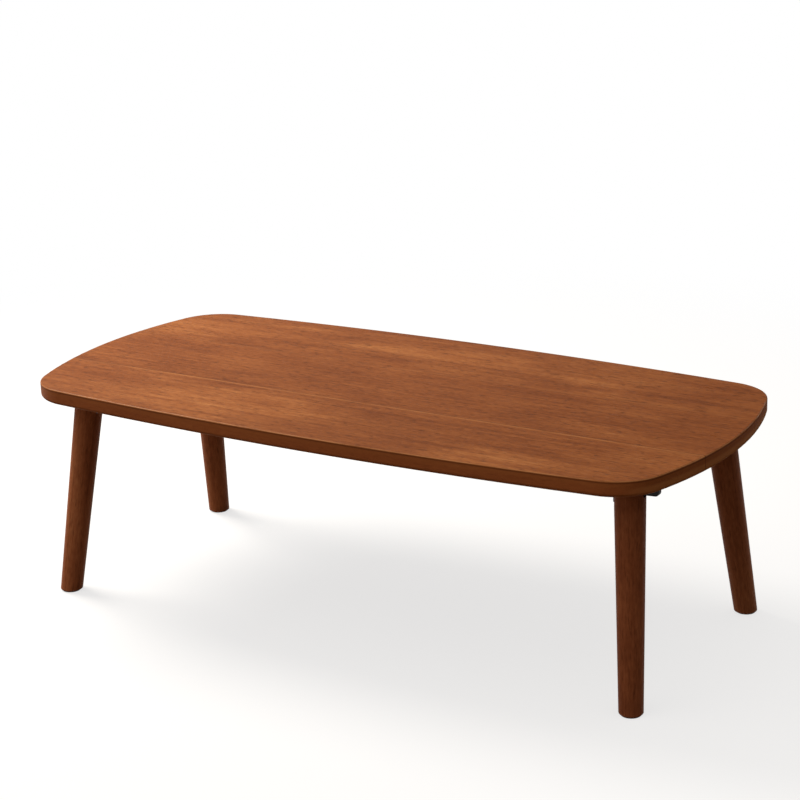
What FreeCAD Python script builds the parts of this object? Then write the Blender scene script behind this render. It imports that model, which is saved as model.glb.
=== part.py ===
"""Low folding coffee table: a glued-up wooden top on four turned legs that swing flat under it.

Millimetres. The origin is on the floor under the middle of the top, +X runs along the top, +Y towards
the back and +Z up. Each leg hangs in a pressed steel bracket, turns on a bolt that lies across the
table, stands against the bracket's plate when it is open, and is held open by a spring leaf. A lug
under the plate stands in a slot across the leg's head.
"""

import math
import os

import FreeCAD
import Part

Vec = FreeCAD.Vector

# Top
TOP_LENGTH = 1200.0
TOP_WIDTH = 564.0
TOP_THICKNESS = 26.0
TABLE_HEIGHT = 376.0
END_BOW = 62.0  # how far the middle of a short end stands out, measured over the whole width
SIDE_BOW = 32.0  # the same for a long side, over the whole length
CORNER_RADIUS = 86.0
UPPER_EDGE_RADIUS = 2.0
LOWER_EDGE_RADIUS = 7.0
BOARD_COUNT = 3

# Legs
LEG_INSET_END = 96.5  # from the top's end to the leg's axis, at the underside
LEG_INSET_SIDE = 121.0  # from the top's long side to the leg's axis, at the underside
SPLAY_ALONG = 4.7  # degrees, outwards along the table
SPLAY_ACROSS = 9.2  # degrees, outwards across the table
LEG_HEAD_RADIUS = 24.3
LEG_FOOT_RADIUS = 18.8
FOOT_EASE = 2.0
PAD_RADIUS = 15.5
PAD_THICKNESS = 2.0

# Hinge: the pivot is named from the underside of the top and from the leg's axis
PIVOT_DROP = 15.0
PIVOT_INSET = 14.0
HEEL_CLEARANCE = 0.5
SLOT_SPARE = 2.0  # from the lug's round down to the slot's floor
SPOT_FACE = 13.0  # from the leg's slot plane to the flats under the bolt's head and nut
SPOT_CLEARANCE = 1.0
BOLT_RADIUS = 4.0
BOLT_HEAD_RADIUS = 7.0
BOLT_HEAD_HEIGHT = 3.0
BOLT_HEAD_EASE = 1.0
BOLT_TIP = 1.0  # how far the bolt passes its nut
RUNNING_CLEARANCE = 0.05
KEY_ACROSS_FLATS = 5.0
KEY_DEPTH = 1.8
NUT_ACROSS_FLATS = 13.0
NUT_HEIGHT = 4.0
BUSH_WALL = 2.0
WASHER_RADIUS = 9.0
WASHER_THICKNESS = 0.75
WASHER_CLEARANCE = 0.2

# Bracket: lengths run inwards and outwards from the pivot
PLATE_THICKNESS = 2.5
PLATE_INWARD = 62.0
PLATE_OUTWARD = 62.0
PLATE_WIDTH = 64.0
PLATE_CORNER = 8.0
LUG_THICKNESS = 10.0
LUG_ROUND = 9.0
LUG_DROP = 21.0  # depth of the lug's outer end below the underside of the top
LUG_NOSE = 6.0
LUG_EASE = 1.0

# Wood screws
SCREW_RADIUS = 2.0
SCREW_HEAD_RADIUS = 4.0
SCREW_HEAD_HEIGHT = 2.2
SCREW_LENGTH = 16.0
SCREW_EDGE = 9.0  # from the plate's edges to a screw's axis
RECESS_WIDTH = 0.9
RECESS_DEPTH = 1.2
STRIKE_SCREW_RADIUS = 1.25
STRIKE_SCREW_HEAD_RADIUS = 2.4
STRIKE_SCREW_HEAD_HEIGHT = 1.2
STRIKE_SCREW_LENGTH = 12.0
STRIKE_SCREW_PITCH = 9.0

# Latch: a spring leaf under the plate whose tip stands behind a strike plate on the leg
LEAF_THICKNESS = 1.0
LEAF_WIDTH = 10.0
LEAF_FLAT = 18.0  # the part that lies against the plate
LEAF_LIP = 6.0  # the turned-down tip
LEAF_EDGE = 3.0  # from the plate's inner end to the leaf
LEAF_GAP = 0.6  # from the tip to the strike plate
RIVET_RADIUS = 2.0
RIVET_HEAD_RADIUS = 3.6
RIVET_HEAD_HEIGHT = 1.1
STRIKE_HEIGHT = 10.0
STRIKE_WIDTH = 17.0
STRIKE_THICKNESS = 1.5
STRIKE_SINK = 0.4  # how far its face lies under the leg's surface
STRIKE_DEPTH = 17.0  # from the pivot down to its middle

# Rubber bumper that a folded leg lies against
BUMPER_REACH = 250.0  # from the pivot, along the folded leg
BUMPER_RADIUS = 9.0
BUMPER_EASE = 2.0
BUMPER_GAP = 0.5

# Derived places
UNDERSIDE = TABLE_HEIGHT - TOP_THICKNESS
PIVOT_Z = UNDERSIDE - PIVOT_DROP
PLATE_FACE_Z = UNDERSIDE - PLATE_THICKNESS
SLOPE_ALONG = math.tan(math.radians(SPLAY_ALONG))
SLOPE_ACROSS = math.tan(math.radians(SPLAY_ACROSS))
HEAD = Vec(TOP_LENGTH / 2 - LEG_INSET_END, TOP_WIDTH / 2 - LEG_INSET_SIDE, UNDERSIDE)
FOOT = HEAD + Vec(SLOPE_ALONG, SLOPE_ACROSS, -1) * UNDERSIDE
AXIS_AT_PIVOT = HEAD + Vec(SLOPE_ALONG, SLOPE_ACROSS, -1) * PIVOT_DROP
PIVOT = AXIS_AT_PIVOT - Vec(PIVOT_INSET, 0, 0)
LEG_LENGTH = (FOOT - HEAD).Length
BUSH_RADIUS = BOLT_RADIUS + RUNNING_CLEARANCE + BUSH_WALL
LUG_SIDE = LUG_THICKNESS / 2
SLOT_SIDE = LUG_SIDE + RUNNING_CLEARANCE + WASHER_THICKNESS
NUT_CORNER_RADIUS = NUT_ACROSS_FLATS / math.sqrt(3)
X_AXIS, Y_AXIS, Z_AXIS = Vec(1, 0, 0), Vec(0, 1, 0), Vec(0, 0, 1)
SPARE = 10.0  # how far a cutting shape stands past what it cuts


def leg_radius(depth):
    """The leg's radius at a depth below the underside of the top."""
    return LEG_HEAD_RADIUS + (LEG_FOOT_RADIUS - LEG_HEAD_RADIUS) * depth / UNDERSIDE


def at_pivot(along, across, up):
    """A point named from the pivot: outwards along the table, towards its long side, and up."""
    return PIVOT + Vec(along, across, up)


def box(low, high):
    """A box between two corners."""
    size = high - low
    return Part.makeBox(size.x, size.y, size.z, low)


def prism(points, direction):
    """A solid from a closed flat outline of points, pushed along a vector."""
    return Part.Face(Part.makePolygon(points + points[:1])).extrude(direction)


def edges_at(shape, height):
    """The edges of a shape that lie wholly at one height."""
    return [e for e in shape.Edges if max(abs(v.Z - height) for v in e.Vertexes) < 1e-4
            and abs(e.CenterOfMass.z - height) < 1e-4]


def corner_circle():
    """Centres and radii of the end, corner and side arcs in the +X +Y quarter of the outline."""
    end_radius = ((TOP_WIDTH / 2) ** 2 + END_BOW ** 2) / (2 * END_BOW)
    side_radius = ((TOP_LENGTH / 2) ** 2 + SIDE_BOW ** 2) / (2 * SIDE_BOW)
    end_centre = Vec(TOP_LENGTH / 2 - end_radius, 0, 0)
    side_centre = Vec(0, TOP_WIDTH / 2 - side_radius, 0)
    to_end, to_side = end_radius - CORNER_RADIUS, side_radius - CORNER_RADIUS
    between = side_centre - end_centre
    gap = between.Length
    reach = (to_end ** 2 - to_side ** 2 + gap ** 2) / (2 * gap)
    rise = math.sqrt(to_end ** 2 - reach ** 2)
    across = Vec(-between.y, between.x, 0) / gap
    corner = end_centre + between * (reach / gap) + across * rise
    return (end_centre, end_radius), (corner, CORNER_RADIUS), (side_centre, side_radius)


def flipped(point, sign_x, sign_y):
    return Vec(sign_x * point.x, sign_y * point.y, point.z)


def top_outline():
    """The closed outline of the top: bowed ends and sides joined by tangent corner arcs."""
    (end_c, end_r), (corner, corner_r), (side_c, side_r) = corner_circle()
    on_end = end_c + (corner - end_c).normalize() * end_r
    on_side = side_c + (corner - side_c).normalize() * side_r
    middle = ((on_end - corner).normalize() + (on_side - corner).normalize()).normalize()
    on_corner = corner + middle * corner_r
    tip, crown = Vec(TOP_LENGTH / 2, 0, 0), Vec(0, TOP_WIDTH / 2, 0)
    edges = []
    for sign_x in (1, -1):
        low, high = flipped(on_end, sign_x, -1), flipped(on_end, sign_x, 1)
        edges.append(Part.Arc(low, flipped(tip, sign_x, 1), high).toShape())
        for sign_y in (1, -1):
            points = [flipped(p, sign_x, sign_y) for p in (on_end, on_corner, on_side)]
            edges.append(Part.Arc(*points).toShape())
    for sign_y in (1, -1):
        left, right = flipped(on_side, -1, sign_y), flipped(on_side, 1, sign_y)
        edges.append(Part.Arc(left, flipped(crown, 1, sign_y), right).toShape())
    return Part.Wire(Part.__sortEdges__(edges))


def top_panel():
    """The whole top with its eased edges, before it is divided into boards."""
    panel = Part.Face(top_outline()).extrude(Vec(0, 0, TOP_THICKNESS))
    panel.translate(Vec(0, 0, UNDERSIDE))
    panel = panel.makeFillet(UPPER_EDGE_RADIUS, edges_at(panel, TABLE_HEIGHT))
    return panel.makeFillet(LOWER_EDGE_RADIUS, edges_at(panel, UNDERSIDE))


def top_boards(screws):
    """The glued boards, front to back, each drilled for the bracket screws that reach it."""
    names = [f"top_board_{n + 1}" for n in range(BOARD_COUNT)]
    panel = top_panel()
    width = TOP_WIDTH / BOARD_COUNT
    boards = {}
    for n, name in enumerate(names):
        front = -TOP_WIDTH / 2 + n * width
        back = front + width
        low = Vec(-TOP_LENGTH, front - (SPARE if n == 0 else 0), 0)
        high = Vec(TOP_LENGTH, back + (SPARE if n == BOARD_COUNT - 1 else 0), TABLE_HEIGHT + SPARE)
        boards[name] = panel.common(box(low, high)).cut(screws)
    return boards


def countersunk(point, direction, radius, head_radius, head_height, length):
    """The body of a countersunk wood screw, its head's face at a point, driven along a direction."""
    head = Part.makeCone(head_radius, radius, head_height, point, direction)
    return head.fuse(Part.makeCylinder(radius, length, point, direction)).removeSplitter()


def recess(point, direction, head_radius):
    """The cross-shaped driver recess in a screw's head."""
    frame = FreeCAD.Rotation(Z_AXIS, direction)
    arm = head_radius * 0.6
    bars = []
    for half_x, half_y in ((arm, RECESS_WIDTH / 2), (RECESS_WIDTH / 2, arm)):
        bar = box(Vec(-half_x, -half_y, -SPARE), Vec(half_x, half_y, RECESS_DEPTH))
        bar.Placement = FreeCAD.Placement(point, frame)
        bars.append(bar)
    return bars[0].fuse(bars[1])


def across_cylinder(radius, start, end, along=0.0, up=0.0):
    """A cylinder that lies across the table near the pivot, between two distances from it."""
    return Part.makeCylinder(radius, end - start, at_pivot(along, start, up), Y_AXIS)


def plate_screw_places():
    """Where the four bracket screws enter the plate's lower face."""
    across = PLATE_WIDTH / 2 - SCREW_EDGE
    up = PLATE_FACE_Z - PIVOT_Z
    return [at_pivot(along, side * across, up)
            for along in (SCREW_EDGE - PLATE_INWARD, PLATE_OUTWARD - SCREW_EDGE) for side in (-1, 1)]


def plate_screw_bodies():
    return [countersunk(p, Z_AXIS, SCREW_RADIUS, SCREW_HEAD_RADIUS, SCREW_HEAD_HEIGHT, SCREW_LENGTH)
            for p in plate_screw_places()]


def bracket_screws():
    """The four screws that hold a bracket to the top."""
    places = plate_screw_places()
    return Part.makeCompound([s.cut(recess(p, Z_AXIS, SCREW_HEAD_RADIUS))
                              for p, s in zip(places, plate_screw_bodies())])


def lug_face():
    """The side outline of the lug: round about the pivot, then out to a rounded nose."""
    top = PLATE_FACE_Z - PIVOT_Z
    low = PIVOT_DROP - LUG_DROP
    centre = at_pivot(0, 0, 0)
    # The lower edge is the common tangent of the round about the pivot and the nose's round
    nose = at_pivot(PLATE_OUTWARD - LUG_NOSE, 0, low + LUG_NOSE)
    tilt = math.atan2(nose.z - centre.z, nose.x - centre.x)
    lean = tilt - math.acos((LUG_ROUND - LUG_NOSE) / (nose - centre).Length)
    down = Vec(math.cos(lean), 0, math.sin(lean))
    start, end = centre + down * LUG_ROUND, nose + down * LUG_NOSE
    bend = Vec(math.cos(lean / 2), 0, math.sin(lean / 2))
    half = Vec(math.cos((lean - math.pi) / 2), 0, math.sin((lean - math.pi) / 2))
    back, tip = centre - X_AXIS * LUG_ROUND, nose + X_AXIS * LUG_NOSE
    inner, outer = at_pivot(-LUG_ROUND, 0, top), at_pivot(PLATE_OUTWARD, 0, top)
    return Part.Face(Part.Wire([
        Part.LineSegment(inner, back).toShape(),
        Part.Arc(back, centre + half * LUG_ROUND, start).toShape(),
        Part.LineSegment(start, end).toShape(),
        Part.Arc(end, nose + bend * LUG_NOSE, tip).toShape(),
        Part.LineSegment(tip, outer).toShape(),
        Part.LineSegment(outer, inner).toShape(),
    ]))


def lug():
    """The lug with its lower edges eased."""
    body = lug_face().extrude(Vec(0, LUG_THICKNESS, 0))
    body.translate(Vec(0, -LUG_SIDE, 0))
    sides = [PIVOT.y - LUG_SIDE, PIVOT.y + LUG_SIDE]
    rim = [e for e in body.Edges if min(abs(e.CenterOfMass.y - y) for y in sides) < 1e-6
           and e.CenterOfMass.z < PLATE_FACE_Z - 1e-6]
    return body.makeFillet(LUG_EASE, rim)


def bracket():
    """Screw plate with the lug welded under it, and holes for the bush, screws and rivet."""
    low = at_pivot(-PLATE_INWARD, -PLATE_WIDTH / 2, PLATE_FACE_Z - PIVOT_Z)
    plate = Part.makeBox(PLATE_INWARD + PLATE_OUTWARD, PLATE_WIDTH, PLATE_THICKNESS, low)
    corners = [e for e in plate.Edges if abs(e.Vertexes[0].Z - e.Vertexes[1].Z) > 1e-6]
    body = plate.makeFillet(PLATE_CORNER, corners).fuse(lug())
    bore = across_cylinder(BUSH_RADIUS, -PLATE_WIDTH, PLATE_WIDTH)
    for cutter in [bore, rivet_shank(), *plate_screw_bodies()]:
        body = body.cut(cutter)
    return body.removeSplitter()


def pivot_bolt():
    """Button-headed bolt with a hexagon key socket. Its head is on the side of the long edge."""
    shank = across_cylinder(BOLT_RADIUS, -(SPOT_FACE + NUT_HEIGHT + BOLT_TIP), SPOT_FACE)
    head = across_cylinder(BOLT_HEAD_RADIUS, SPOT_FACE, SPOT_FACE + BOLT_HEAD_HEIGHT)
    face_y = PIVOT.y + SPOT_FACE + BOLT_HEAD_HEIGHT
    rim = [e for e in head.Edges if abs(e.CenterOfMass.y - face_y) < 1e-6]
    head = head.makeFillet(BOLT_HEAD_EASE, rim)
    key = hexagon(KEY_ACROSS_FLATS, SPOT_FACE + BOLT_HEAD_HEIGHT - KEY_DEPTH, KEY_DEPTH + SPARE)
    return shank.fuse(head).cut(key).removeSplitter()


def hexagon(across_flats, start, length):
    """A hexagonal prism that lies across the table on the pivot's axis."""
    radius = across_flats / math.sqrt(3)
    angles = [math.radians(60 * n) for n in range(6)]
    points = [at_pivot(radius * math.cos(a), start, radius * math.sin(a)) for a in angles]
    return prism(points, Y_AXIS * length)


def pivot_nut():
    """The thin nut on the side of the table's middle."""
    nut = hexagon(NUT_ACROSS_FLATS, -SPOT_FACE - NUT_HEIGHT, NUT_HEIGHT)
    return nut.cut(across_cylinder(BOLT_RADIUS, -PLATE_WIDTH, PLATE_WIDTH))


def pivot_bush():
    """The sleeve pressed into the lug, in which the bolt turns."""
    sleeve = across_cylinder(BUSH_RADIUS, -LUG_SIDE, LUG_SIDE)
    return sleeve.cut(across_cylinder(BOLT_RADIUS + RUNNING_CLEARANCE, -PLATE_WIDTH, PLATE_WIDTH))


def pivot_washers():
    """The two thin washers between the lug and the slot's walls."""
    bore = across_cylinder(BOLT_RADIUS + WASHER_CLEARANCE, -PLATE_WIDTH, PLATE_WIDTH)
    rings = [across_cylinder(WASHER_RADIUS, SLOT_SIDE - WASHER_THICKNESS, SLOT_SIDE),
             across_cylinder(WASHER_RADIUS, -SLOT_SIDE, WASHER_THICKNESS - SLOT_SIDE)]
    return Part.makeCompound([ring.cut(bore) for ring in rings])


def strike_face():
    """Distance from the pivot to the strike plate's outer face, negative towards the table's middle."""
    depth = PIVOT_DROP + STRIKE_DEPTH
    crest = PIVOT_INSET + STRIKE_DEPTH * SLOPE_ALONG
    return crest - leg_radius(depth) / math.cos(math.radians(SPLAY_ALONG)) + STRIKE_SINK


def strike_place():
    """The middle of the strike plate's outer face."""
    return at_pivot(strike_face(), STRIKE_DEPTH * SLOPE_ACROSS, -STRIKE_DEPTH)


def strike_block(inwards):
    """The strike plate's outline, from a distance towards the table's middle up to its back."""
    half = Vec(0, STRIKE_WIDTH / 2, STRIKE_HEIGHT / 2)
    place = strike_place()
    return box(place - half - Vec(inwards, 0, 0), place + half + Vec(STRIKE_THICKNESS, 0, 0))


def strike_screw_places():
    offset = Vec(0, STRIKE_SCREW_PITCH / 2, 0)
    return [strike_place() - offset, strike_place() + offset]


def strike_screw_bodies():
    return [countersunk(p, X_AXIS, STRIKE_SCREW_RADIUS, STRIKE_SCREW_HEAD_RADIUS,
                        STRIKE_SCREW_HEAD_HEIGHT, STRIKE_SCREW_LENGTH) for p in strike_screw_places()]


def strike_plate():
    """The steel plate let into the leg, where the leaf's tip bears."""
    plate = strike_block(0)
    for screw in strike_screw_bodies():
        plate = plate.cut(screw)
    return plate


def strike_screws():
    """The two small screws of the strike plate."""
    places = strike_screw_places()
    return Part.makeCompound([s.cut(recess(p, X_AXIS, STRIKE_SCREW_HEAD_RADIUS))
                              for p, s in zip(places, strike_screw_bodies())])


def leg():
    """Tapered round leg, cut flat for the floor, with a slot and a rounded heel at its head."""
    run = (FOOT - HEAD).normalize()
    slope = (LEG_FOOT_RADIUS - LEG_HEAD_RADIUS) / LEG_LENGTH
    spare = LEG_HEAD_RADIUS
    head_radius, foot_radius = LEG_HEAD_RADIUS - slope * spare, LEG_FOOT_RADIUS + slope * spare
    body = Part.makeCone(head_radius, foot_radius, LEG_LENGTH + 2 * spare, HEAD - run * spare, run)
    reach = Vec(TOP_LENGTH, TOP_WIDTH, 0)
    body = body.common(box(Vec(0, 0, PAD_THICKNESS) - reach, Vec(0, 0, PLATE_FACE_Z) + reach))
    body = body.makeFillet(FOOT_EASE, edges_at(body, PAD_THICKNESS))
    for cutter in [heel_waste(), slot(), *bolt_waste(), strike_block(SPARE), *strike_screw_bodies()]:
        body = body.cut(cutter)
    return body


def heel_waste():
    """What is cut off the head's inner corner, so that it turns clear of the plate."""
    radius = PLATE_FACE_Z - PIVOT_Z - HEEL_CLEARANCE
    block = box(at_pivot(-TOP_LENGTH, -TOP_WIDTH, 0), at_pivot(0, TOP_WIDTH, TABLE_HEIGHT))
    return block.cut(across_cylinder(radius, -TOP_WIDTH, TOP_WIDTH))


def slot():
    """The slot across the leg's head, in which the lug stands."""
    floor = -(LUG_ROUND + SLOT_SPARE)
    return box(at_pivot(-TOP_LENGTH, -SLOT_SIDE, floor), at_pivot(TOP_LENGTH, SLOT_SIDE, TABLE_HEIGHT))


def bolt_waste():
    """The bolt's hole through the leg's head, and the flats for its head and nut."""
    radius = max(BOLT_HEAD_RADIUS, NUT_CORNER_RADIUS) + SPOT_CLEARANCE
    return [across_cylinder(BOLT_RADIUS, -TOP_WIDTH, TOP_WIDTH),
            across_cylinder(radius, SPOT_FACE, TOP_WIDTH),
            across_cylinder(radius, -TOP_WIDTH, -SPOT_FACE)]


def foot_pad():
    """The felt pad under the foot."""
    return Part.makeCylinder(PAD_RADIUS, PAD_THICKNESS, Vec(FOOT.x, FOOT.y, 0), Z_AXIS)


def strip(points, thickness):
    """The flat outline of a bent strip, given its upper line, with mitred corners below it."""
    runs = [(b - a).normalize() for a, b in zip(points, points[1:])]
    normals = [Vec(r.z, 0, -r.x) for r in runs]
    lower = [points[0] + normals[0] * thickness]
    for n, point in enumerate(points[1:-1]):
        mitre = normals[n] + normals[n + 1]
        lower.append(point + mitre * (2 * thickness / mitre.Length ** 2))
    lower.append(points[-1] + normals[-1] * thickness)
    return points + lower[::-1]


def latch_spring():
    """The spring leaf: flat under the plate, then down to a lip that stands behind the strike plate."""
    top = PLATE_FACE_Z - PIVOT_Z
    start = LEAF_EDGE - PLATE_INWARD
    tip = strike_face() - LEAF_GAP
    lip = -STRIKE_DEPTH - STRIKE_HEIGHT / 4
    line = [at_pivot(start, 0, top), at_pivot(start + LEAF_FLAT, 0, top),
            at_pivot(tip, 0, lip + LEAF_LIP), at_pivot(tip, 0, lip)]
    across = STRIKE_DEPTH * SLOPE_ACROSS - LEAF_WIDTH / 2
    leaf = prism(strip(line, LEAF_THICKNESS), Y_AXIS * LEAF_WIDTH)
    leaf.translate(Vec(0, across, 0))
    return leaf.cut(rivet_shank())


def rivet_place():
    along = LEAF_EDGE - PLATE_INWARD + LEAF_FLAT / 2
    return at_pivot(along, STRIKE_DEPTH * SLOPE_ACROSS, PIVOT_DROP)


def rivet_shank():
    length = PLATE_THICKNESS + LEAF_THICKNESS
    return Part.makeCylinder(RIVET_RADIUS, length, rivet_place(), -Z_AXIS)


def latch_rivet():
    """The rivet that holds the leaf under the plate."""
    below = rivet_place() - Z_AXIS * (PLATE_THICKNESS + LEAF_THICKNESS)
    head = Part.makeCylinder(RIVET_HEAD_RADIUS, RIVET_HEAD_HEIGHT, below, -Z_AXIS)
    rim = edges_at(head, below.z - RIVET_HEAD_HEIGHT)
    head = head.makeFillet(RIVET_HEAD_HEIGHT / 2, rim)
    return rivet_shank().fuse(head).removeSplitter()


def fold_bumper():
    """The rubber button under the top that the folded leg lies against."""
    lean = math.radians(SPLAY_ALONG)
    place = Vec(PIVOT.x - PIVOT_INSET * math.sin(lean) - BUMPER_REACH / math.cos(lean),
                PIVOT.y + BUMPER_REACH * SLOPE_ACROSS, UNDERSIDE)
    crest = PIVOT_DROP + PIVOT_INSET * math.cos(lean) - leg_radius(BUMPER_REACH + PIVOT_DROP)
    height = crest - BUMPER_GAP
    button = Part.makeCylinder(BUMPER_RADIUS, height, place, -Z_AXIS)
    return button.makeFillet(BUMPER_EASE, edges_at(button, UNDERSIDE - height))


def mirrored(shape, sign_x, sign_y):
    """The piece made at the +X +Y corner, moved to another corner by reflection."""
    if sign_x < 0:
        shape = shape.mirror(Vec(0, 0, 0), X_AXIS)
    if sign_y < 0:
        shape = shape.mirror(Vec(0, 0, 0), Y_AXIS)
    return shape


CORNERS = {
    "front_left": (-1, -1),
    "front_right": (1, -1),
    "back_left": (-1, 1),
    "back_right": (1, 1),
}
CORNER_PIECES = {
    "leg": leg,
    "bracket": bracket,
    "bracket_screws": bracket_screws,
    "pivot_bolt": pivot_bolt,
    "pivot_nut": pivot_nut,
    "pivot_bush": pivot_bush,
    "pivot_washers": pivot_washers,
    "latch_spring": latch_spring,
    "latch_rivet": latch_rivet,
    "strike_plate": strike_plate,
    "strike_screws": strike_screws,
    "foot_pad": foot_pad,
    "fold_bumper": fold_bumper,
}


def build():
    """Every piece of the table by its name."""
    pieces = {}
    for kind, make in CORNER_PIECES.items():
        original = make()
        for corner, signs in CORNERS.items():
            pieces[f"{kind}_{corner}"] = mirrored(original, *signs)
    bodies = plate_screw_bodies()
    screws = Part.makeCompound([mirrored(s, *signs) for s in bodies for signs in CORNERS.values()])
    pieces.update(top_boards(screws))
    return pieces


def main():
    os.makedirs("parts", exist_ok=True)
    for name, shape in build().items():
        shape.exportStep(f"parts/{name}.step")


main()
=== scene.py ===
import math
from collections import namedtuple

import bpy
from mathutils import Matrix, Vector


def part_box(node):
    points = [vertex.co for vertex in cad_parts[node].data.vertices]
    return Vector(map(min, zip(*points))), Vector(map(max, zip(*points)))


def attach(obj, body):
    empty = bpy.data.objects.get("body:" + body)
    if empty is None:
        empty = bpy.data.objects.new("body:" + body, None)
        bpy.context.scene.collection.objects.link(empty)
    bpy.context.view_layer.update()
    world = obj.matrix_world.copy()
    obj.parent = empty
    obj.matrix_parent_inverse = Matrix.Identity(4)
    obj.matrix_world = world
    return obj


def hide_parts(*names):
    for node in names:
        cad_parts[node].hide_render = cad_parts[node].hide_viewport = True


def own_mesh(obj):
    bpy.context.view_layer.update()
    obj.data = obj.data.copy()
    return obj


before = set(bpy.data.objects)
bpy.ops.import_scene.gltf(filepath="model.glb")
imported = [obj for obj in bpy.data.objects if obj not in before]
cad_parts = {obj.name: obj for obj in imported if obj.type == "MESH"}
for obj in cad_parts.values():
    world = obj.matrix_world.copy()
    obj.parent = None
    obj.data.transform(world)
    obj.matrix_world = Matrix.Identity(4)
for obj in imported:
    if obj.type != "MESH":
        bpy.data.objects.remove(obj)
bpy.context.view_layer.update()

CORNERS = ("front_left", "front_right", "back_left", "back_right")

# Colours are linear, lengths are in metres and the scales of noises are per metre.
Layer = namedtuple("Layer", "scale detail roughness shift", defaults=(3.0, 0.55, (0.0, 0.0, 0.0)))
Tones = namedtuple("Tones", "dark middle light lightest pore")
Finish = namedtuple("Finish", "tones sheen rough fleck")
Plank = namedtuple("Plank", "turn shift pith warmth")
Metal = namedtuple("Metal", "low high rough lay")
Moulding = namedtuple("Moulding", "low high rough")
Relief = namedtuple("Relief", "distance strength")


def even(scale, detail, roughness):
    """A noise of the same scale in all directions."""
    return Layer((scale, scale, scale), detail, roughness)


# Wood: the finishes of top and legs, and the planks that they are cut from
TOP_FINISH = Finish(
    Tones((0.154, 0.0395, 0.0087), (0.231, 0.0665, 0.0161), (0.318, 0.1030, 0.0270),
          (0.435, 0.1670, 0.0510), (0.063, 0.0155, 0.0039)),
    sheen=0.06, rough=0.30, fleck=0.50)
LEG_FINISH = Finish(
    Tones((0.165, 0.0435, 0.0160), (0.243, 0.0700, 0.0260), (0.323, 0.1030, 0.0395),
          (0.412, 0.1480, 0.0590), (0.067, 0.0160, 0.0060)),
    sheen=0.05, rough=0.50, fleck=0.16)
LACQUER_TINT = (1.0, 0.74, 0.50, 1.0)
# The heart of each plank lies to one side of its board, so the grain runs straight.
BOARD_PLANKS = {
    "top_board_1": Plank((0, 0, 0), (0.30, 0.00, 0.00), (0.21, -0.12), 0.54),
    "top_board_2": Plank((0, 0, 0), (1.70, 0.45, 0.10), (0.27, 0.55), 0.34),
    "top_board_3": Plank((0, 0, 0), (4.10, -0.30, 0.05), (-0.34, -0.42), 0.46),
}
# Each leg's warmth is painted shading: the front right leg darker and redder as painted shade, the others
# paler as painted light.
LEG_WARMTH_AS_PAINTED_SHADING = {"front_left": 0.78, "front_right": 0.18, "back_left": 0.92, "back_right": 0.78}
LEG_SPLAY = (math.tan(math.radians(4.7)), math.tan(math.radians(9.2)))
LEG_STEP = (0.37, 0.11, 0.07)  # from one leg's place in the grain to the next one's
LEG_PITH = (0.05, -0.09)

# The grain's noises, their shares in the tone, and the steps at which marks show
GRAIN = {
    "bands": Layer((4.5, 62.0, 62.0), 3.0, 0.55, (1.7, 9.0, 4.0)),
    "figure": Layer((17.0, 85.0, 85.0), 3.0, 0.6),
    "speckle": Layer((80.0, 260.0, 260.0), 2.0, 0.6, (0.0, 3.0, 6.0)),
    "hair": Layer((18.0, 700.0, 700.0), 2.0, 0.6),
    "cloud": Layer((6.5, 18.0, 18.0), 3.0, 0.5, (0.4, 5.2, 1.3)),
    "hue": Layer((3.1, 8.0, 8.0), 2.0, 0.5, (3.1, 0.7, 0.2)),
    "pores": Layer((55.0, 720.0, 720.0), 1.0, 0.5, (7.0, 0.0, 2.0)),
    "flecks": Layer((58.0, 250.0, 250.0), 2.0, 0.5, (5.0, 1.0, 8.0)),
    "streaks": Layer((3.4, 150.0, 150.0), 3.0, 0.55, (2.0, 4.0, 1.0)),
}
TONE_SHARES = {"rings": 0.26, "bands": 0.30, "figure": 0.30, "cloud": 0.40, "speckle": 0.46, "hair": 0.30}
TONE_STOPS = (0.28, 0.50, 0.74)
GOLD_STEP, WARMTH_SHIFT = (0.66, 0.94), 0.4  # a warm plank turns from red to gold at a lower hue
STREAK_STEP, STREAK_STAIN = (0.56, 0.70), 0.42
FLECK_STEP = (0.58, 0.67)
PORE_STEP, PORE_STAIN = (0.57, 0.70), 0.50
LATE_WOOD, LATE_PORES = (0.38, 0.62), 0.35  # fewer pores in the late wood of a ring
FIGURE_ROUGH, PORE_ROUGH = 0.12, 0.10
HAIR_HEIGHT, PORE_DEPTH = 0.35, 0.8
WOOD_RELIEF = Relief(0.00012, 0.5)
RINGS = Layer(150.0, 2.0, 0.6)  # along a radius from the heart's line
RING_SWAY, RING_SWAY_REACH = Layer((1.3, 6.0, 6.0), 2.0, 0.5), (0.0, 0.030, 0.030)
# The paler flames: middle, reach and share. The front board's flame is sapwood; the back board's is painted
# sheen, a paler patch in the back middle that stands in for a reflection.
SAPWOOD_AND_PAINTED_SHEEN = {"top_board_1": ((-0.21, -0.19, 0.376), (0.16, 0.090, 0.10), 0.40),
           "top_board_3": ((-0.05, 0.175, 0.376), (0.24, 0.085, 0.10), 0.24)}
PALE_FLAME_FADE = (0.1, 1.2)

# Edges of the top. A drop is a depth below the top's face, or two between which a mark comes or goes.
EDGE_FACING, END_FACING = (0.25, 0.85), (0.45, 0.95)
# The sides of the top are mixed toward a tone of their own: painted shading for how light falls on them.
EDGE_PAINTED_SHADING_TONE, EDGE_PAINTED_SHADING = (0.290, 0.077, 0.0230), 0.65
# The ends are mixed toward the pore tone.
END_DARKENING = 0.20
# Painted bounce light: the lower part of the ends is mixed toward the lightest tone, as if lit from the
# floor.
END_PAINTED_BOUNCE_DROP, END_PAINTED_BOUNCE = (0.0080, 0.0150), 0.60
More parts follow.
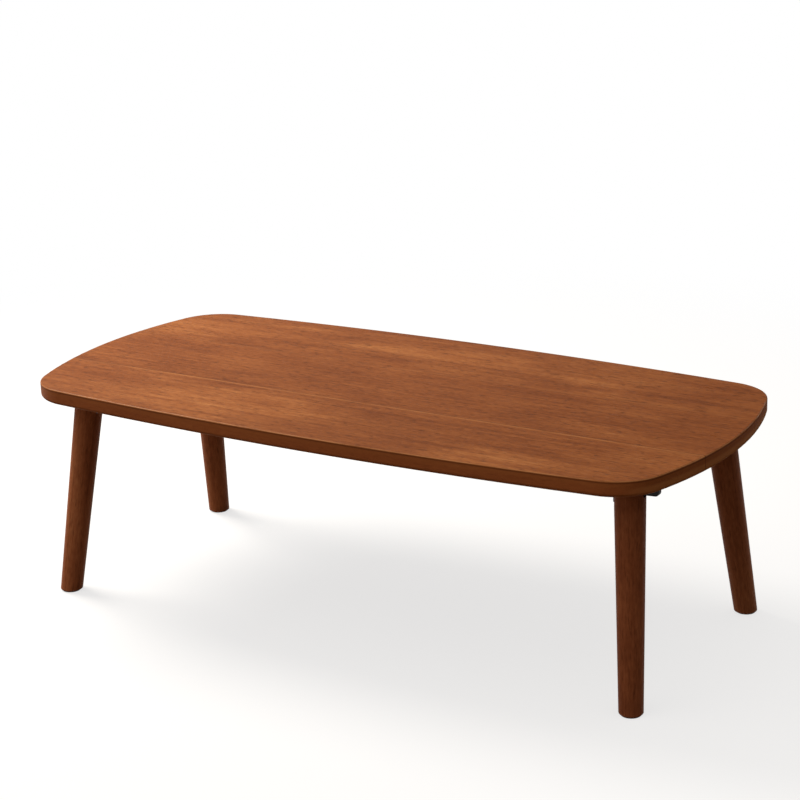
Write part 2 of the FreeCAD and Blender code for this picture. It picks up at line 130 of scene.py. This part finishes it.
# Painted light: a paler band high on the sides, where the edge would catch light from above.
UPPER_SIDE_PAINTED_LIGHT_DROP, UPPER_SIDE_PAINTED_LIGHT = (0.0070, 0.0130), 0.30
# Painted shade on the lower rounding, which faces the floor, except on the ends.
ROUND_DROP, ROUND_END_DROP, ROUND_PAINTED_SHADE = (0.0185, 0.0225), (0.0252, 0.0258), 0.40
# Painted highlight: a pale line along the arris, broken into patches, stands in for the shine of the
# rounding.
HIGHLIGHT_DROP, HIGHLIGHT_END_DROP, ARRIS_PAINTED_HIGHLIGHT = (0.0001, 0.0004), (0.0009, 0.0018), 0.65
PAINTED_HIGHLIGHT_TONE = (0.62, 0.28, 0.12)
HIGHLIGHT_PATCHES, HIGHLIGHT_PATCH_STEP, HIGHLIGHT_PATCH_LOW = Layer((9.0, 9.0, 9.0), 2.0), (0.36, 0.60), 0.35
# Painted dark reflection: a thin dark line just below the arris.
ARRIS_DROP, ARRIS_FADE, ARRIS_PAINTED_DARK_REFLECTION = 0.0032, (0.0004, 0.0014), 0.55
EDGE_ROUGH, END_ROUGH, ROUND_ROUGH = 0.20, 0.25, 0.35

# Glue lines: a thin dark line, and a broken pale one in front of it
SEAM_REACH = 0.25  # glue lines lie nearer to the middle than this
BACK_SEAM = 0.35  # how much of the back glue line shows, against the front one
SEAM_FADE, SEAM_STAIN = (0.0004, 0.0013), 0.60
SEAM_PALE_FADE, SEAM_PALE = (0.0012, 0.0080), 0.70
SEAM_PATCHES, SEAM_PATCH_STEP, SEAM_PATCH_LOW = Layer((8.0, 2.0, 2.0), 2.0), (0.38, 0.60), 0.40

# Hardware: low and high are the ends of a colour's ramp, which a noise runs through between two stops.
POWDER_LOW, POWDER_HIGH, POWDER_STOPS = (0.006, 0.006, 0.006), (0.016, 0.0155, 0.015), (0.30, 0.72)
POWDER_PEEL, POWDER_CLOUD = even(900.0, 2.0, 0.5), even(45.0, 4.0, 0.6)
POWDER_RELIEF = Relief(0.0002, 0.35)
POWDER_ROUGH, POWDER_WEAR, POWDER_SHEEN = 0.50, 0.18, 0.20
METALS = {
    "zinc_plate": Metal((0.42, 0.42, 0.40), (0.66, 0.66, 0.62), (0.24, 0.42),
                        Layer((300, 300, 1800), 3.0, 0.6)),
    "spring_steel": Metal((0.035, 0.037, 0.044), (0.085, 0.088, 0.100), (0.24, 0.40),
                          Layer((60, 1600, 60), 3.0, 0.6)),
    "turned_brass": Metal((0.55, 0.36, 0.14), (0.78, 0.57, 0.26), (0.22, 0.36),
                          Layer((1500, 90, 1500), 3.0, 0.6)),
}
METAL_CLOUD, METAL_RELIEF = even(60.0, 4.0, 0.6), Relief(0.00005, 0.4)
METAL_STOPS, METAL_ROUGH_STEP = (0.32, 0.68), (0.3, 0.7)
LAY_IN_COLOUR, LAY_IN_ROUGH = 0.5, 0.4  # the share of the metal's fine lines, against its cloud
MOULDINGS = {
    "nylon": Moulding((0.66, 0.64, 0.57), (0.80, 0.78, 0.71), 0.42),
    "rubber": Moulding((0.012, 0.012, 0.012), (0.032, 0.031, 0.030), 0.62),
}
MOULD_GRAIN, MOULD_CLOUD = even(1500.0, 2.0, 0.5), even(120.0, 3.0, 0.6)
MOULD_RELIEF = Relief(0.0001, 0.4)
MOULD_STOPS, MOULD_GRAIN_ROUGH = (0.3, 0.7), 0.14
FELT_LOW, FELT_HIGH, FELT_STOPS = (0.035, 0.024, 0.018), (0.115, 0.082, 0.060), (0.3, 0.7)
FELT_FUZZ, FELT_CLOUD = Layer((1400.0, 1400.0, 900.0), 4.0, 0.7), even(180.0, 3.0, 0.6)
FELT_RELIEF, FUZZ_IN_COLOUR = Relief(0.0006, 0.8), 0.6
FELT_ROUGH, FELT_SHEEN = 0.95, 0.3
FINISHES = {
    "bracket": "black_powder_coat",
    "bracket_screws": "zinc_plate",
    "pivot_bolt": "zinc_plate",
    "pivot_nut": "zinc_plate",
    "pivot_bush": "turned_brass",
    "pivot_washers": "nylon",
    "latch_rivet": "zinc_plate",
    "strike_plate": "spring_steel",
    "strike_screws": "zinc_plate",
    "foot_pad": "pressed_felt",
    "fold_bumper": "rubber",
}

# Studio: between the two distances of FLOOR_FADE the floor turns from pale to plain white.
FLOOR_REACH = 400.0
FLOOR_FADE = (0.8, 2.4)
FLOOR_PALE, FLOOR_GLOW = (0.30, 0.30, 0.30), 0.71
FLOOR_BOUNCE = (0.24, 0.20, 0.16, 1.0)
FLOOR_BLACK, WHITE = (0.0, 0.0, 0.0), (1.0, 1.0, 1.0, 1.0)
SKY_COLOUR, SKY_LEVEL = (1.0, 0.94, 0.87, 1.0), 0.035
# Glows overhead, at the back left and at the front left: the direction of the middle,
# the cosine of the angle at which the glow begins, and its strength
SKY_GLOWS = (
    ((0, 0, 1), 0.30, 0.72),
    ((-0.75, 0.55, 0.36), 0.80, 0.30),
    ((-0.60, -0.76, 0.25), 0.62, 0.85),
)
HORIZON_FADE = (-0.13, -0.05)  # the downward part of a direction, from sky to white
KEY_PLACE, KEY_SIZE, KEY_POWER, KEY_COLOUR = (-1.75, 0.25, 1.95), 1.1, 66.0, (1.0, 0.94, 0.86)
KEY_TARGET = (0, 0, 0.35)

# The viewpoint of the photograph: angles in radians, and distance to a point on the table
VIEW_AZIMUTH, VIEW_ELEVATION, VIEW_ROLL = 0.5559, 0.3064, -0.0331
VIEW_TARGET, VIEW_DISTANCE = (0.0122, 0.0, 0.3547), 3.5723
SENSOR_MM, LENS_MM = 36.0, 98.39


class Nodes:
    """The node tree of a material or world, built from small calls that return output sockets."""

    def __init__(self, owner, output="ShaderNodeOutputMaterial"):
        owner.use_nodes = True
        self.owner = owner
        self.tree = owner.node_tree
        self.tree.nodes.clear()
        self.out = self.tree.nodes.new(output)

    def put(self, socket, value):
        if isinstance(value, bpy.types.NodeSocket):
            self.tree.links.new(value, socket)
        else:
            socket.default_value = value

    def node(self, kind, settings=None, **inputs):
        made = self.tree.nodes.new(kind)
        for key, value in (settings or {}).items():
            setattr(made, key, value)
        for key, value in inputs.items():
            self.put(made.inputs[key.replace("_", " ")], value)
        return made

    def numbered(self, kind, settings, *inputs):
        """A node whose inputs are given in their order."""
        made = self.node(kind, settings)
        for index, value in enumerate(inputs):
            self.put(made.inputs[index], value)
        return made.outputs

    def math(self, operation, first, second=0.0, clamp=False):
        settings = {"operation": operation, "use_clamp": clamp}
        return self.numbered("ShaderNodeMath", settings, first, second)[0]

    def times(self, first, second):
        return self.math("MULTIPLY", first, second)

    def plus(self, first, second, clamp=False):
        return self.math("ADD", first, second, clamp)

    def rest(self, share):
        """What a share leaves of one."""
        return self.math("SUBTRACT", 1.0, share)

    def remap(self, value, step, to_low=0.0, to_high=1.0):
        """A soft step from to_low to to_high, as value passes between the two ends of step."""
        made = self.node("ShaderNodeMapRange", {"interpolation_type": "SMOOTHSTEP"}, Value=value,
                         From_Min=step[0], From_Max=step[1], To_Min=to_low, To_Max=to_high)
        return made.outputs["Result"]

    def noise(self, vector, layer, output="Fac"):
        scaled = self.node("ShaderNodeMapping", Vector=vector, Scale=layer.scale, Location=layer.shift)
        made = self.node("ShaderNodeTexNoise", Vector=scaled.outputs[0], Scale=1.0,
                         Detail=layer.detail, Roughness=layer.roughness)
        return made.outputs[output]

    def ramp(self, value, *stops):
        made = self.node("ShaderNodeValToRGB", Fac=value)
        row = made.color_ramp.elements
        while len(row) < len(stops):
            row.new(0.5)
        for element, (place, colour) in zip(row, stops):
            element.position = place
            element.color = (*colour, 1.0)
        return made.outputs["Color"]

    def mix(self, share, first, second):
        """A colour that has a share of the second one."""
        made = self.node("ShaderNodeMix", {"data_type": "RGBA"})
        factor, first_colour, second_colour = 0, 6, 7
        self.put(made.inputs[factor], share)
        for index, value in ((first_colour, first), (second_colour, second)):
            plain = not isinstance(value, bpy.types.NodeSocket)
            self.put(made.inputs[index], (*value, 1.0) if plain else value)
        return made.outputs[2]

    def blend(self, *shares):
        """The sum of several noises about their middle value, each with its share."""
        total = 0.5 - 0.5 * sum(share for _, share in shares)
        for noise, share in shares:
            total = self.plus(total, self.times(noise, share))
        return total

    def bump(self, height, relief):
        made = self.node("ShaderNodeBump", Height=height, Distance=relief.distance,
                         Strength=relief.strength)
        return made.outputs[0]

    def place(self):
        return self.node("ShaderNodeTexCoord").outputs["Object"]

    def axes(self, vector):
        return self.node("ShaderNodeSeparateXYZ", Vector=vector).outputs

    def length(self, vector):
        return self.numbered("ShaderNodeVectorMath", {"operation": "LENGTH"}, vector)["Value"]

    def seen(self):
        """One for rays from the camera, and for those that shiny or clear surfaces send on."""
        rays = self.node("ShaderNodeLightPath").outputs
        shown = self.math("MAXIMUM", rays["Is Camera Ray"], rays["Is Glossy Ray"])
        return self.math("MAXIMUM", shown, rays["Is Transmission Ray"])

    def shader(self, kind, **inputs):
        return self.node(kind, **inputs).outputs[0]

    def mix_shader(self, share, first, second):
        return self.numbered("ShaderNodeMixShader", None, share, first, second)[0]

    def finish(self, shader):
        self.put(self.out.inputs["Surface"], shader)
        return self.owner

    def surface(self, **inputs):
        return self.finish(self.shader("ShaderNodeBsdfPrincipled", **inputs))


def material_nodes(name):
    return Nodes(bpy.data.materials.new(name))


def wood(name, plank, finish, board=None):
    """Stained and lacquered wood. After the plank's turn and shift, the grain runs along X."""
    n = material_nodes(name)
    tones = finish.tones
    place = n.place()
    p = n.node("ShaderNodeMapping", Vector=place, Rotation=plank.turn, Location=plank.shift).outputs[0]
    grain = {key: n.noise(p, layer) for key, layer in GRAIN.items()}
    grain["rings"] = growth_rings(n, p, plank.pith)
    hue = grain["hue"]
    # Pale flames: sapwood on the front board, painted sheen on the back board
    if board in SAPWOOD_AND_PAINTED_SHEEN:
        hue = n.plus(hue, sapwood_and_sheen_patch(n, place, *SAPWOOD_AND_PAINTED_SHEEN[board]))
    streaks = n.remap(grain["streaks"], STREAK_STEP)
    flecks = n.remap(grain["flecks"], FLECK_STEP)
    pores = n.times(n.remap(grain["pores"], PORE_STEP), n.remap(grain["rings"], LATE_WOOD, 1.0, LATE_PORES))
    tone = n.blend(*((grain[key], share) for key, share in TONE_SHARES.items()))
    red = n.ramp(tone, *zip(TONE_STOPS, (tones.dark, tones.middle, tones.light)))
    gold = n.ramp(tone, *zip(TONE_STOPS, (tones.middle, tones.light, tones.lightest)))
    gold_step = [step - WARMTH_SHIFT * plank.warmth for step in GOLD_STEP]
    colour = n.mix(n.remap(hue, gold_step), red, gold)
    colour = n.mix(n.times(streaks, STREAK_STAIN), colour, tones.dark)
    colour = n.mix(n.times(flecks, finish.fleck), colour, tones.pore)
    colour = n.mix(n.times(pores, PORE_STAIN), colour, tones.pore)
    rough = n.plus(n.times(grain["figure"], FIGURE_ROUGH), finish.rough - 0.5 * FIGURE_ROUGH)
    rough = n.plus(rough, n.times(pores, PORE_ROUGH))
    if board:
        edge, end, drop = board_sides(n, place, board)
        colour = board_edges(n, place, colour, tones, edge, end, drop)
        colour = glue_lines(n, place, board, colour, tones, edge)
        low_round = n.remap(drop, ROUND_DROP)
        for share, amount in ((edge, EDGE_ROUGH), (end, END_ROUGH), (low_round, ROUND_ROUGH)):
            rough = n.plus(rough, n.times(share, amount), clamp=True)
    height = n.math("SUBTRACT", n.times(grain["hair"], HAIR_HEIGHT), n.times(pores, PORE_DEPTH))
    return n.surface(Base_Color=colour, Roughness=rough, Specular_IOR_Level=finish.sheen,
                     Specular_Tint=LACQUER_TINT, Normal=n.bump(height, WOOD_RELIEF))


def growth_rings(n, p, pith):
    """Year rings about the heart's line, which sways a little along the plank."""
    sway = n.noise(p, RING_SWAY, "Color")
    bent = n.numbered("ShaderNodeVectorMath", {"operation": "MULTIPLY_ADD"}, sway, RING_SWAY_REACH, p)[0]
    axes = n.axes(bent)
    across = n.math("SUBTRACT", axes["Y"], pith[0])
    depth = n.math("SUBTRACT", axes["Z"], pith[1])
    radius = n.math("SQRT", n.plus(n.times(across, across), n.times(depth, depth)))
    rings = n.node("ShaderNodeTexNoise", {"noise_dimensions": "1D"}, W=n.times(radius, RINGS.scale),
                   Scale=1.0, Detail=RINGS.detail, Roughness=RINGS.roughness)
    return rings.outputs["Fac"]


def sapwood_and_sheen_patch(n, place, middle, reach, share):
    """A soft paler flame on a board: sapwood, and on the back board painted sheen."""
    local = n.node("ShaderNodeMapping", {"vector_type": "TEXTURE"}, Vector=place,
                   Location=middle, Scale=reach).outputs[0]
    return n.remap(n.length(local), PALE_FLAME_FADE, share, 0.0)


def board_sides(n, place, board):
    """How much a place lies on an edge of the top and on end grain, and its depth below the top's face."""
    facing = n.axes(n.node("ShaderNodeTexCoord").outputs["Normal"])
    edge = n.remap(n.math("ABSOLUTE", facing["Z"]), EDGE_FACING, 1.0, 0.0)
    end = n.remap(n.math("ABSOLUTE", facing["X"]), END_FACING)
    drop = n.math("SUBTRACT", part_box(board)[1].z, n.axes(place)["Z"])
    return edge, end, drop


def board_edges(n, place, colour, tones, edge, end, drop):
    """Painted light and shade on the edges: a tone of their own for how light falls on the sides, darker
    ends, painted bounce light low on the ends, a painted paler band high on the sides, painted shade on the
    lower rounding, and a painted highlight on the arris above a painted dark reflection.
    """
    colour = n.mix(n.times(edge, EDGE_PAINTED_SHADING), colour, EDGE_PAINTED_SHADING_TONE)
    colour = n.mix(n.times(end, END_DARKENING), colour, tones.pore)
    colour = n.mix(n.times(n.remap(drop, END_PAINTED_BOUNCE_DROP, 0.0, END_PAINTED_BOUNCE), end), colour, tones.lightest)
    colour = n.mix(n.times(n.remap(drop, UPPER_SIDE_PAINTED_LIGHT_DROP, UPPER_SIDE_PAINTED_LIGHT, 0.0), edge), colour, tones.light)
    low_round = n.times(n.remap(drop, ROUND_DROP, 0.0, ROUND_PAINTED_SHADE),
                        n.remap(drop, ROUND_END_DROP, 1.0, 0.0))
    colour = n.mix(n.times(low_round, n.rest(end)), colour, tones.pore)
    # The painted highlight along the arris
    painted_highlight = n.times(n.remap(drop, HIGHLIGHT_DROP), n.remap(drop, HIGHLIGHT_END_DROP, ARRIS_PAINTED_HIGHLIGHT, 0.0))
    painted_highlight = n.times(painted_highlight, n.remap(n.noise(place, HIGHLIGHT_PATCHES), HIGHLIGHT_PATCH_STEP, HIGHLIGHT_PATCH_LOW))
    colour = n.mix(painted_highlight, colour, PAINTED_HIGHLIGHT_TONE)
    # The painted dark reflection below the arris
    line = n.math("ABSOLUTE", n.math("SUBTRACT", drop, ARRIS_DROP))
    return n.mix(n.remap(line, ARRIS_FADE, ARRIS_PAINTED_DARK_REFLECTION, 0.0), colour, tones.pore)


def glue_lines(n, place, board, colour, tones, edge):
    """The joints with the neighbouring boards. The pale line belongs to the board in front of the joint."""
    low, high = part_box(board)
    across = n.axes(place)["Y"]
    for seam, inside in ((low.y, 1), (high.y, -1)):
        if abs(seam) < SEAM_REACH:
            shown = 1.0 if seam < 0 else BACK_SEAM
            gap = n.times(n.math("SUBTRACT", across, seam), inside)
            if inside < 0:
                pale = n.times(n.remap(gap, SEAM_PALE_FADE, SEAM_PALE * shown, 0.0), n.rest(edge))
                patches = n.remap(n.noise(place, SEAM_PATCHES), SEAM_PATCH_STEP, SEAM_PATCH_LOW)
                colour = n.mix(n.times(pale, patches), colour, tones.lightest)
            colour = n.mix(n.remap(gap, SEAM_FADE, SEAM_STAIN * shown, 0.0), colour, tones.pore)
    return colour


def painted_steel(name):
    """Fine black powder coat with a slight orange peel and dust-grey wear."""
    n = material_nodes(name)
    p = n.place()
    peel = n.noise(p, POWDER_PEEL)
    cloud = n.noise(p, POWDER_CLOUD)
    colour = n.ramp(cloud, *zip(POWDER_STOPS, (POWDER_LOW, POWDER_HIGH)))
    rough = n.plus(n.times(cloud, POWDER_WEAR), POWDER_ROUGH)
    return n.surface(Base_Color=colour, Roughness=rough, Specular_IOR_Level=POWDER_SHEEN,
                     Normal=n.bump(peel, POWDER_RELIEF))


def bare_metal(name, metal):
    """Metal with fine lines along its lay and a slightly uneven shine."""
    n = material_nodes(name)
    p = n.place()
    lines = n.noise(p, metal.lay)
    cloud = n.noise(p, METAL_CLOUD)
    tone = n.blend((lines, LAY_IN_COLOUR), (cloud, 1.0 - LAY_IN_COLOUR))
    colour = n.ramp(tone, *zip(METAL_STOPS, (metal.low, metal.high)))
    wear = n.blend((lines, LAY_IN_ROUGH), (cloud, 1.0 - LAY_IN_ROUGH))
    rough = n.remap(wear, METAL_ROUGH_STEP, *metal.rough)
    return n.surface(Base_Color=colour, Metallic=1.0, Roughness=rough, Normal=n.bump(lines, METAL_RELIEF))


def felt(name):
    """Pressed felt with a fine fuzz."""
    n = material_nodes(name)
    p = n.place()
    fuzz = n.noise(p, FELT_FUZZ)
    tone = n.blend((fuzz, FUZZ_IN_COLOUR), (n.noise(p, FELT_CLOUD), 1.0 - FUZZ_IN_COLOUR))
    colour = n.ramp(tone, *zip(FELT_STOPS, (FELT_LOW, FELT_HIGH)))
    return n.surface(Base_Color=colour, Roughness=FELT_ROUGH, Sheen_Weight=FELT_SHEEN,
                     Normal=n.bump(fuzz, FELT_RELIEF))


def moulded(name, moulding):
    """Moulded rubber or plastic with a fine matt grain."""
    n = material_nodes(name)
    p = n.place()
    grain = n.noise(p, MOULD_GRAIN)
    cloud = n.noise(p, MOULD_CLOUD)
    colour = n.ramp(cloud, *zip(MOULD_STOPS, (moulding.low, moulding.high)))
    rough = n.plus(n.times(grain, MOULD_GRAIN_ROUGH), moulding.rough)
    return n.surface(Base_Color=colour, Roughness=rough, Normal=n.bump(grain, MOULD_RELIEF))


def dress(node, material):
    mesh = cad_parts[node].data
    mesh.materials.clear()
    mesh.materials.append(material)


def dress_top():
    for node, plank in BOARD_PLANKS.items():
        dress(node, wood(node + "_wood", plank, TOP_FINISH, node))


def dress_legs():
    """Each leg's grain runs along its own splayed axis."""
    for index, corner in enumerate(CORNERS):
        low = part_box("foot_pad_" + corner)[0]
        side_x, side_y = (1 if low.x > 0 else -1), (1 if low.y > 0 else -1)
        axis = Vector((side_x * LEG_SPLAY[0], side_y * LEG_SPLAY[1], -1.0)).normalized()
        turn = axis.rotation_difference(Vector((1, 0, 0))).to_euler()
        shift = [step * index for step in LEG_STEP]
        pith = (LEG_PITH[0] + shift[1], LEG_PITH[1] + shift[2])
        # A leg's warmth here is painted shading, lighter or darker by how light falls on that leg.
        plank = Plank(turn, shift, pith, LEG_WARMTH_AS_PAINTED_SHADING[corner])
        dress("leg_" + corner, wood("leg_wood_" + corner, plank, LEG_FINISH))


def dress_hardware():
    made = {"black_powder_coat": painted_steel("black_powder_coat"), "pressed_felt": felt("pressed_felt")}
    made.update((name, bare_metal(name, metal)) for name, metal in METALS.items())
    made.update((name, moulded(name, moulding)) for name, moulding in MOULDINGS.items())
    for corner in CORNERS:
        for kind, name in FINISHES.items():
            dress(f"{kind}_{corner}", made[name])
        spring_leaf(corner, made["spring_steel"])


def spring_leaf(corner, material):
    """The spring leaf, which presses flat against its plate on the real table, as a copy in spring steel
    carried by the tabletop.
    """
    node = "latch_spring_" + corner
    leaf = bpy.data.objects.new("spring_leaf_" + corner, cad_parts[node].data.copy())
    bpy.context.scene.collection.objects.link(leaf)
    leaf.data.materials.clear()
    leaf.data.materials.append(material)
    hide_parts(node)
    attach(leaf, "tabletop")
    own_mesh(leaf)


def studio_floor():
    """Pale floor that keeps the table's shadow, turns white away from it and can't be seen from below."""
    n = material_nodes("studio_floor")
    away = n.length(n.place())
    pale = n.ramp(n.remap(away, FLOOR_FADE), (0.0, FLOOR_PALE), (1.0, FLOOR_BLACK))
    glow = n.remap(away, FLOOR_FADE, FLOOR_GLOW, 1.0)
    shown = n.numbered("ShaderNodeAddShader", None, n.shader("ShaderNodeBsdfDiffuse", Color=pale),
                       n.shader("ShaderNodeEmission", Color=WHITE, Strength=glow))[0]
    above = n.mix_shader(n.seen(), n.shader("ShaderNodeBsdfDiffuse", Color=FLOOR_BOUNCE), shown)
    below = n.node("ShaderNodeNewGeometry").outputs["Backfacing"]
    material = n.finish(n.mix_shader(below, above, n.shader("ShaderNodeBsdfTransparent")))
    material.cycles.emission_sampling = "NONE"
    corners = [(x * FLOOR_REACH, y * FLOOR_REACH, 0) for x, y in ((-1, -1), (1, -1), (1, 1), (-1, 1))]
    mesh = bpy.data.meshes.new("floor")
    mesh.from_pydata(corners, [], [(0, 1, 2, 3)])
    mesh.materials.append(material)
    floor = bpy.data.objects.new("floor", mesh)
    bpy.context.scene.collection.objects.link(floor)


def sky():
    """Soft surroundings, dim near the floor and with a few glows, and a white band along the horizon."""
    n = Nodes(bpy.data.worlds.new("studio"), "ShaderNodeOutputWorld")
    way = n.node("ShaderNodeTexCoord").outputs["Generated"]

    def towards(direction):
        aim = Vector(direction).normalized()
        return n.numbered("ShaderNodeVectorMath", {"operation": "DOT_PRODUCT"}, way, aim)["Value"]

    level = SKY_LEVEL
    for direction, begin, strength in SKY_GLOWS:
        level = n.plus(n.remap(towards(direction), (begin, 1.0), 0.0, strength), level)
    soft = n.shader("ShaderNodeBackground", Color=SKY_COLOUR, Strength=level)
    white = n.shader("ShaderNodeBackground", Color=WHITE, Strength=1.0)
    band = n.times(n.seen(), n.remap(towards((0, 0, -1)), HORIZON_FADE))
    bpy.context.scene.world = n.finish(n.mix_shader(band, soft, white))


def key_lamp():
    """A round soft lamp that faces the middle of the table."""
    light = bpy.data.lights.new("key", "AREA")
    light.shape = "DISK"
    light.size = KEY_SIZE
    light.energy = KEY_POWER
    light.color = KEY_COLOUR
    holder = bpy.data.objects.new("key", light)
    holder.location = KEY_PLACE
    away = Vector(KEY_PLACE) - Vector(KEY_TARGET)
    holder.rotation_euler = away.to_track_quat("Z", "Y").to_euler()
    bpy.context.scene.collection.objects.link(holder)


def camera():
    """The camera looks from where the photograph was taken."""
    level = math.cos(VIEW_ELEVATION)
    back = Vector((math.sin(VIEW_AZIMUTH) * level, -math.cos(VIEW_AZIMUTH) * level,
                   math.sin(VIEW_ELEVATION)))
    right = Vector((math.cos(VIEW_AZIMUTH), math.sin(VIEW_AZIMUTH), 0.0))
    up = back.cross(right)
    across = right * math.cos(VIEW_ROLL) + up * math.sin(VIEW_ROLL)
    upright = up * math.cos(VIEW_ROLL) - right * math.sin(VIEW_ROLL)
    lens = bpy.data.cameras.new("camera")
    lens.sensor_width = SENSOR_MM
    lens.lens = LENS_MM
    lens.clip_end = 2.0 * FLOOR_REACH
    view = bpy.data.objects.new("camera", lens)
    turn = Matrix((across, upright, back)).transposed().to_4x4()
    view.matrix_world = Matrix.Translation(Vector(VIEW_TARGET) + back * VIEW_DISTANCE) @ turn
    bpy.context.scene.collection.objects.link(view)
    bpy.context.scene.camera = view


dress_top()
dress_legs()
dress_hardware()
studio_floor()
sky()
key_lamp()
camera()
bpy.context.scene.view_settings.view_transform = "Standard"
